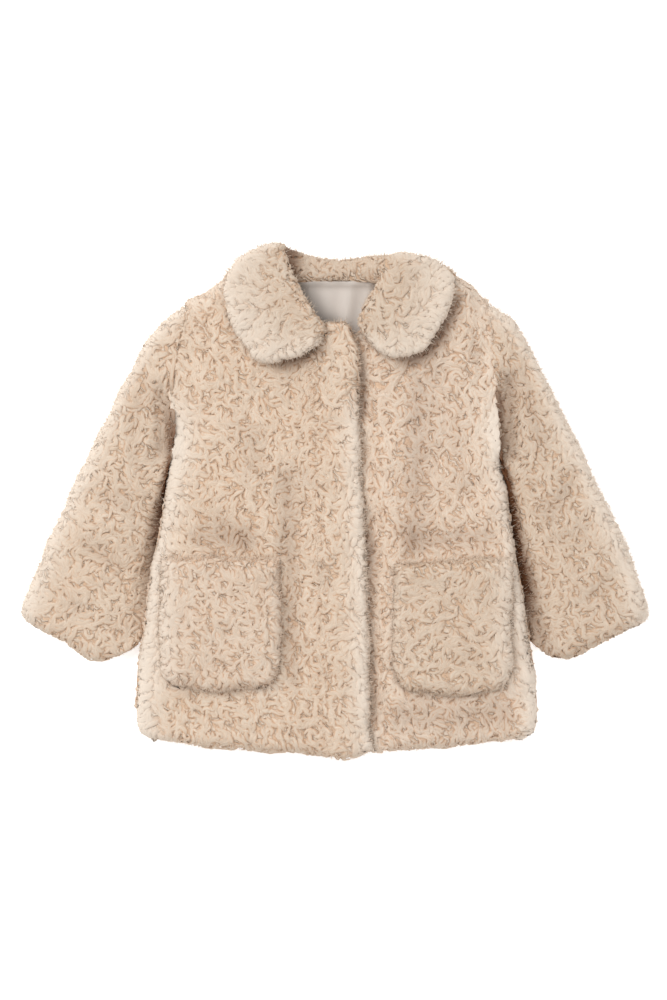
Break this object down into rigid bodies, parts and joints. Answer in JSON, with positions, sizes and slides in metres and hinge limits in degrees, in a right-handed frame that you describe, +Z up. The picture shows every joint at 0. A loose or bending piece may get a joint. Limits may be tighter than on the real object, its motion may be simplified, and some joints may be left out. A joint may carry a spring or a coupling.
{
  "type": "child's faux fur coat, laid flat",
  "caption": "Small child's curly faux fur coat with a rounded collar and patch pockets, closed in front and laid flat on its back.",
  "frame": {"origin": "middle of the bounding box, on the surface that the coat lies on", "axes": "+X towards the wearer's left, +Y from the hem to the neck, +Z up, out of the fronts"},
  "size_m": [0.5474, 0.4492, 0.0537],
  "materials": {
    "fur": "curly beige faux fur, soft wavy locks, matt with a faint sheen",
    "lining": "smooth ivory woven lining, soft satin"
  },
  "bodies": {
    "root": {"back": "fur", "front_right": "fur", "front_left": "fur", "sleeve_right": "fur", "sleeve_left": "fur", "collar": "fur", "pocket_right": "fur", "pocket_left": "fur", "lining_back": "lining"}
  },
  "joints": []
}
